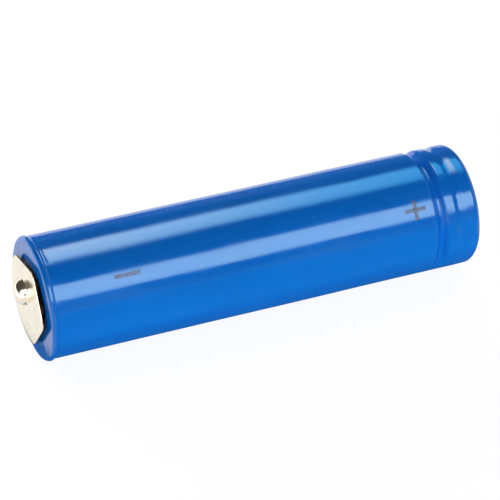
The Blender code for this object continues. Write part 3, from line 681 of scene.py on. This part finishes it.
def make_sleeve():
    """The film, as one closed skin of the outer surface and the inner one."""
    outline = sleeve_outline()
    outer = []
    inner = []
    for i, ((x, radius), normal) in enumerate(zip(outline, outline_normals(outline))):
        rows = ([], [])
        for j in range(COLUMNS):
            angle = 2 * math.pi * j / COLUMNS
            lift = film_relief(x, radius, angle)
            rise = rise_at(x, radius, angle)
            for row, offset in zip(rows, (lift, lift - FILM)):
                row.append(around(x + normal.x * offset, radius + rise + normal.y * offset, angle))
        outer.append(rows[0])
        if i % INNER_SHARE == 0 or i == len(outline) - 1:
            inner.append(rows[1])
    mesh_data = bmesh.new()
    close_grid(mesh_data, outer + inner[::-1], wrap_rows=True)
    sleeve = add_piece("sleeve_film", mesh_data, "blue_film", "shrink_sleeve")
    for edge in sleeve.data.edges:
        if all(vertex // COLUMNS == LIP_RINGS - 1 for vertex in edge.vertices):
            edge.use_edge_sharp = True


# Printed marks


def add_dot(mesh_data, x, angle):
    """A low round dot of ink on the barrel."""
    lift = film_relief(x, RADIUS, angle)
    rows = []
    for height, size in ((-DOT_SUNK, 1.0), (0.5 * DOT_HEIGHT, 1.0), (DOT_HEIGHT, DOT_TOP)):
        row = []
        for k in range(DOT_SIDES):
            turn = 2 * math.pi * k / DOT_SIDES
            along = size * DOT_RADIUS * math.cos(turn)
            across = size * DOT_RADIUS * math.sin(turn) / RADIUS
            row.append(around(x + along, RADIUS + lift + height, angle + across))
        rows.append(row)
    close_grid(mesh_data, rows, wrap_rows=False)


def make_mark(name, x, rise, dots):
    """A mark of ink dots, from their (along, across) places in dot pitches."""
    mesh_data = bmesh.new()
    for along, across in dots:
        angle = math.pi - rise - across * DOT_PITCH / RADIUS
        add_dot(mesh_data, x + along * DOT_PITCH, angle)
    piece = add_piece(name, mesh_data, "mark_ink")
    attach(piece, "root")


def bar(length):
    """Places of two rows of dots, centred near the origin."""
    return [(i - length // 2, j - 0.5) for i in range(length) for j in range(2)]


def make_marks():
    """The minus and the plus."""
    make_mark("minus_mark", NEGATIVE_X + MINUS_DEPTH, MINUS_RISE, bar(MINUS_DOTS))
    post = [(j - 0.5, i - (POST_DOTS - 1) / 2) for i in range(POST_DOTS) for j in range(2)]
    plus = sorted(set(bar(PLUS_DOTS) + post))
    make_mark("plus_mark", POSITIVE_X - PLUS_DEPTH, PLUS_RISE, plus)


# Contact plate


def plate_edge(angle, inset):
    """Radius of the plate's edge, moved in by an inset: round, with three flats."""
    reaches = [CONTACT_RADIUS - inset]
    for flat in FLAT_ANGLES:
        facing = max(math.cos(angle - flat), FACING_LEAST)
        reaches.append((FLAT_REACH - inset) / facing)
    return sum(reach**-PLATE_SOFTNESS for reach in reaches) ** (-1 / PLATE_SOFTNESS)


def nub_rows(base, height, radius):
    """(x, radius) of each ring of a dome with a flat tip, from the tip to near its base."""
    made = [(base - height, NUB_FLAT * share) for share in NUB_TIP_RINGS]
    for t in spaced(0, NUB_TURN, 20):
        made.append((base - height * math.cos(t), NUB_FLAT + (radius - NUB_FLAT) * math.sin(t)))
    return made


def ring_at(x, radius_at, share):
    """A ring of points whose middle lies this share of the way from the axis to the nub's."""
    row = []
    for j in range(CONTACT_COLUMNS):
        angle = 2 * math.pi * j / CONTACT_COLUMNS
        row.append(around(x, radius_at(angle), angle) + share * NUB_ASIDE)
    return row


def nub_rings(rows):
    """Round rings about the nub's middle."""
    return [ring_at(x, lambda angle, radius=radius: radius, 1) for x, radius in rows]


def contact_rings():
    """Rings of points from the nub's tip, over the plate and its edge, to the hollow behind."""
    face = NEGATIVE_X + CONTACT_FACE
    back = face + CONTACT_SHEET
    dome = nub_rows(face, NUB_HEIGHT, NUB_RADIUS)
    foot_x, foot = dome[-1]
    for t in spaced(0, 1, 6)[1:]:
        dome.append((face - (face - foot_x) * (1 - t) ** 2, foot + NUB_FILLET * t))
    rings = nub_rings(dome)
    start = foot + NUB_FILLET
    for t in PLATE_RINGS:
        rings.append(ring_at(face, lambda angle, t=t: start + (plate_edge(angle, 0) - start) * t, 1 - t))
    for t in spaced(0, math.pi / 2, 4):
        x = face + PLATE_BEVEL * (1 - math.cos(t))
        inset = PLATE_BEVEL * (1 - math.sin(t))
        rings.append(ring_at(x, lambda angle, inset=inset: plate_edge(angle, inset), 0))
    rings.append(ring_at(back, lambda angle: plate_edge(angle, 0), 0))
    hollow = nub_rows(back, NUB_HEIGHT, NUB_RADIUS - CONTACT_SHEET)
    return rings + nub_rings(hollow[::-3])


def leg_path():
    """(x, radius) points down the middle of a leg, from inside the plate to the foot's end."""
    top = NEGATIVE_X + CONTACT_FACE + 0.5 * CONTACT_SHEET
    foot = BOARD_FACE - JOINT_GAP - LEG_SHEET / 2
    outside = LEG_RADIUS - LEG_SHEET / 2
    made = [(top, outside), (top + LEG_BEND, outside)]
    for t in spaced(0, math.pi / 2, 6):
        made.append((foot - LEG_BEND * (1 - math.sin(t)), outside - LEG_BEND * (1 - math.cos(t))))
    made.append((foot, LEG_RADIUS - FOOT_LENGTH))
    return made


def leg_section():
    """(across, along its normal) points of a leg's section: a strip with chamfered edges."""
    half, thick = LEG_WIDTH / 2, LEG_SHEET / 2
    near_half, near_thick = half - LEG_EDGE, thick - LEG_EDGE
    made = [(-half, -near_thick), (-near_half, -thick), (near_half, -thick), (half, -near_thick)]
    return made + [(-across, -depth) for across, depth in made]


def add_leg(mesh_data, angle):
    """A folded leg of sheet, at this angle round the axis."""
    path = leg_path()
    rows = []
    for point, normal in zip(path, outline_normals(path)):
        row = []
        for across, depth in leg_section():
            place = Vector(point) + normal * depth
            aside = around(0, across, angle + math.pi / 2)
            row.append(around(place.x, place.y, angle) + aside)
        rows.append(row)
    close_grid(mesh_data, rows, wrap_rows=False)


def make_contact():
    """The stamped plate with its nub, and its six legs joined on."""
    mesh_data = bmesh.new()
    close_grid(mesh_data, contact_rings(), wrap_rows=False)
    plate = add_piece("contact_plate", mesh_data, "warm_nickel", "negative_contact", PLATE_SHARP)
    legs = bmesh.new()
    for leg in range(LEGS):
        add_leg(legs, LEG_START + leg * 2 * math.pi / LEGS)
    carve(plate, add_piece("contact_legs", legs, "warm_nickel"), "UNION")
    plate.data.shade_smooth()
    plate.data.set_sharp_from_angle(angle=JOINED_SHARP)


# Positive end


def cap_outline(low, high):
    """Closed (x, radius) outline of the cap: face, sloping shoulder and flange."""
    sheet = 0.30 * MM
    flange = high.z / math.cos(math.pi / CAP_COLUMNS)
    face, foot = high.x, low.x + sheet
    outside = [(face, 0), (face, 3.74 * MM), (foot, 5.12 * MM), (foot, flange)]
    inside = [(foot - sheet, flange), (foot - sheet, 4.90 * MM), (face - sheet, 3.55 * MM)]
    return [(face - sheet, 0)] + outside + inside


def make_cap():
    """Stamped cap with rounded edges and four vent windows in its shoulder."""
    low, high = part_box("positive_cap")
    bend = 0.28 * MM
    window_size = (0.62 * MM, 2.6 * MM, 2.4 * MM)
    window_middle = (high.x - 0.76 * MM, 4.5 * MM, 0)
    window_edge = 0.16 * MM
    outline = rounded(cap_outline(low, high), bend, 6)
    cap = add_piece("cap", turned(outline, 96), "plated_steel", "positive_cap")
    for window in range(4):
        turn = Matrix.Rotation(math.radians(45) + window * math.pi / 2, 4, "X")
        place = turn @ Matrix.Translation(window_middle) @ Matrix.Diagonal((*window_size, 1))
        mesh_data = bmesh.new()
        bmesh.ops.create_cube(mesh_data, size=1, matrix=place)
        bmesh.ops.bevel(
            mesh_data,
            geom=mesh_data.edges[:],
            offset=window_edge,
            segments=3,
            affect="EDGES",
            profile=0.5,
        )
        carve(cap, add_piece("window", mesh_data, "plated_steel"), "DIFFERENCE")
    cap.data.shade_smooth()
    cap.data.set_sharp_from_angle(angle=CAP_SHARP)


def make_washer():
    """White ring round the cap, with its edges eased."""
    low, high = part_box("positive_washer")
    inner = 5.30 * MM
    outer = high.z / math.cos(math.pi / CAD_COLUMNS)
    outline = [(low.x, inner), (high.x, inner), (high.x, outer), (low.x, outer)]
    outline = rounded(outline, 0.05 * MM, 4)
    add_piece("washer", turned(outline, 128), "white_plastic", "positive_washer")


def repaint_cad_nodes():
    """Each CAD node gets the material of its slot in the record."""
    for part in frame["record"]["subparts"]:
        node = frame["nodes"][part["node"]]
        node.data.materials.clear()
        node.data.materials.append(MATERIALS[part["material_slot"]])


# Stage


def floor_material():
    """Pale floor that glows slightly, so that it stays near white and lights the cell from below.

    In reflections it is bright behind and beside the cell, dim in its shadow and blue in front.
    """
    made = Surface("floor", 1.0)
    made.tree.nodes.remove(made.shader)
    place = made.node("ShaderNodeSeparateXYZ", {"Vector": made.place}).outputs
    behind = made.spread(place["Y"], 0.0, 1.0, *BEHIND_CELL)
    beside = made.spread(place["X"], 0.0, 1.0, *BESIDE_NEGATIVE)
    past_cap = made.spread(place["X"], 0.0, 1.0, *PAST_CAP)
    near_axis = made.spread(place["Y"], 0.0, 1.0, *PAST_CAP_SIDE)
    bright = made.maths("MAXIMUM", behind, beside)
    bright = made.maths("MAXIMUM", bright, made.maths("MULTIPLY", past_cap, near_axis))
    lit = made.spread(place["Y"], 1.0, FLOOR_SEEN_IN_SHADOW, *CELL_SHADOW)
    front = made.blend(lit, (0.0, 0.0, 0.0), FLOOR_SEEN_IN_FRONT)
    outer = made.spread(place["X"], 0.0, 1.0, *OUTER_NEGATIVE)
    seen = made.blend(outer, made.blend(bright, front, FLOOR_SEEN_BEHIND), FLOOR_SEEN_OUTER)
    ray = made.node("ShaderNodeLightPath").outputs
    plain = made.blend(ray["Is Diffuse Ray"], (FLOOR_GLOW,) * 3, (FLOOR_GLOW_ON_CELL,) * 3)
    colour = made.blend(ray["Is Glossy Ray"], plain, seen)
    glow = made.node("ShaderNodeEmission", {"Color": colour, "Strength": 1.0})
    matt = made.node("ShaderNodeBsdfDiffuse", {"Color": FLOOR_MATT})
    both = made.node("ShaderNodeAddShader", {0: matt.outputs[0], 1: glow.outputs[0]})
    output = made.tree.nodes["Material Output"]
    made.tree.links.new(both.outputs[0], output.inputs["Surface"])
    return made.material


def make_floor():
    mesh_data = bmesh.new()
    bmesh.ops.create_circle(mesh_data, cap_ends=True, segments=96, radius=FLOOR_RADIUS)
    mesh = bpy.data.meshes.new("floor")
    mesh_data.to_mesh(mesh)
    mesh_data.free()
    floor = bpy.data.objects.new("floor", mesh)
    bpy.context.scene.collection.objects.link(floor)
    floor.location.z = FLOOR_Z - FLOOR_GAP
    mesh.materials.append(floor_material())


def make_world():
    """Plain studio: white for the camera, dim in reflections except beyond the positive end."""
    world = bpy.data.worlds.new("studio")
    bpy.context.scene.world = world
    world.use_nodes = True
    tree = world.node_tree

    def mix(factor, first, second):
        made = tree.nodes.new("ShaderNodeMix")
        for socket, value in zip(made.inputs, (factor, None, first, second)):
            if isinstance(value, bpy.types.NodeSocket):
                tree.links.new(value, socket)
            elif value is not None:
                socket.default_value = value
        return made.outputs[0]

    direction = tree.nodes.new("ShaderNodeTexCoord").outputs["Generated"]
    apart = tree.nodes.new("ShaderNodeSeparateXYZ")
    tree.links.new(direction, apart.inputs[0])
    beyond = tree.nodes.new("ShaderNodeMapRange")
    beyond.inputs["From Min"].default_value = BEYOND_CAP[0]
    beyond.inputs["From Max"].default_value = BEYOND_CAP[1]
    tree.links.new(apart.outputs["X"], beyond.inputs["Value"])
    path = tree.nodes.new("ShaderNodeLightPath").outputs
    gloss = mix(beyond.outputs[0], WORLD_FOR_GLOSS, WORLD_BEYOND_CAP)
    unseen = mix(path["Is Glossy Ray"], WORLD_FOR_DIFFUSE, gloss)
    background = tree.nodes["Background"]
    background.inputs["Color"].default_value = (1, 1, 1, 1)
    strength = mix(path["Is Camera Ray"], unseen, WORLD_FOR_CAMERA)
    tree.links.new(strength, background.inputs["Strength"])


def soft_panel_nodes(light, edge, far_level, tints):
    """Fades a light towards its long edges, and along its length down to far_level.

    tints gives its colours towards the cell's negative and positive ends.
    """
    light.use_nodes = True
    tree = light.node_tree
    emission = tree.nodes["Emission"]
    place = tree.nodes.new("ShaderNodeNewGeometry").outputs["Parametric"]
    apart = tree.nodes.new("ShaderNodeSeparateXYZ")
    tree.links.new(place, apart.inputs[0])
    along, across = apart.outputs[0], apart.outputs[1]

    def ramp(value, start, end, low, high):
        made = tree.nodes.new("ShaderNodeMapRange")
        made.interpolation_type = "SMOOTHSTEP"
        for key, number in zip(("From Min", "From Max", "To Min", "To Max"), (start, end, low, high)):
            made.inputs[key].default_value = number
        tree.links.new(value, made.inputs["Value"])
        return made.outputs[0]

    def product(first, second):
        made = tree.nodes.new("ShaderNodeMath")
        made.operation = "MULTIPLY"
        tree.links.new(first, made.inputs[0])
        tree.links.new(second, made.inputs[1])
        return made.outputs[0]

    edges = product(ramp(across, 0.0, edge, 0.0, 1.0), ramp(across, 1.0, 1.0 - edge, 0.0, 1.0))
    level = product(edges, ramp(along, *LIGHT_FADE, 1.0, far_level))
    tree.links.new(level, emission.inputs["Strength"])
    colour = tree.nodes.new("ShaderNodeMix")
    colour.data_type = "RGBA"
    tree.links.new(ramp(along, *TINT_TURN, 0.0, 1.0), colour.inputs[0])
    for socket, tint in zip((colour.inputs[6], colour.inputs[7]), tints):
        socket.default_value = (*tint, 1)
    tree.links.new(colour.outputs[2], emission.inputs["Color"])


def add_panel(name, elevation, middle_x, size, radiance):
    """An area light at this angle in degrees up from -Y, aimed at the cell's axis.

    middle_x is its middle along X, and size its length along X and its height.
    """
    length, height = size
    light = bpy.data.lights.new(name, "AREA")
    light.shape = "RECTANGLE"
    light.size = length
    light.size_y = height
    light.energy = radiance * math.pi * length * height
    panel = bpy.data.objects.new(name, light)
    turn = math.radians(elevation)
    towards = Vector((0, -math.cos(turn), math.sin(turn)))
    side = Vector((1, 0, 0))
    panel.matrix_world = Matrix((side, towards.cross(side), towards)).transposed().to_4x4()
    panel.location = towards * LIGHT_DISTANCE + side * middle_x
    panel.visible_camera = False
    bpy.context.scene.collection.objects.link(panel)
    return panel


def add_box_light(name, elevation, middle_x, size, radiance, edge, far_level=1.0, tints=PLAIN_TINTS):
    """A soft box, which only shows in reflections."""
    panel = add_panel(name, elevation, middle_x, size, radiance)
    panel.visible_diffuse = False
    soft_panel_nodes(panel.data, edge, far_level, tints)


def add_fill_light(name, elevation, middle_x, size, radiance):
    """A light that reaches only matt surfaces."""
    panel = add_panel(name, elevation, middle_x, size, radiance)
    panel.visible_glossy = False


def make_lights():
    add_box_light("front_box", 35.5, 0.0, (1.0, 0.36), 8.6, 0.14)
    add_box_light("rear_box", 110.5, 0.27, (0.50, 0.49), 10.0, 0.30, 0.62, REAR_TINTS)
    add_box_light("end_box", 22.0, -0.98, (1.0, 1.0), 2.4, 0.14)
    add_fill_light("front_fill", -1.0, 0.0, (0.80, 0.20), 6.0)
    add_fill_light("rear_fill", 168.0, 0.0, (0.80, 0.20), 9.0)


def make_camera():
    """Long lens, above and to the left of the cell's front."""
    flat = math.cos(CAMERA_ELEVATION)
    back = Vector(
        (
            -math.sin(CAMERA_AZIMUTH) * flat,
            -math.cos(CAMERA_AZIMUTH) * flat,
            math.sin(CAMERA_ELEVATION),
        )
    )
    lens = bpy.data.cameras.new("camera")
    lens.lens = CAMERA_LENS
    lens.sensor_width = CAMERA_SENSOR
    lens.clip_start, lens.clip_end = CAMERA_RANGE
    camera = bpy.data.objects.new("camera", lens)
    camera.location = CAMERA_TARGET + back * CAMERA_DISTANCE
    camera.rotation_euler = back.to_track_quat("Z", "Y").to_euler()
    bpy.context.scene.collection.objects.link(camera)
    bpy.context.scene.camera = camera


MATERIALS = make_materials()
repaint_cad_nodes()
make_sleeve()
make_marks()
make_contact()
make_cap()
make_washer()
make_floor()
make_world()
make_lights()
make_camera()
bpy.context.scene.view_settings.view_transform = "Standard"
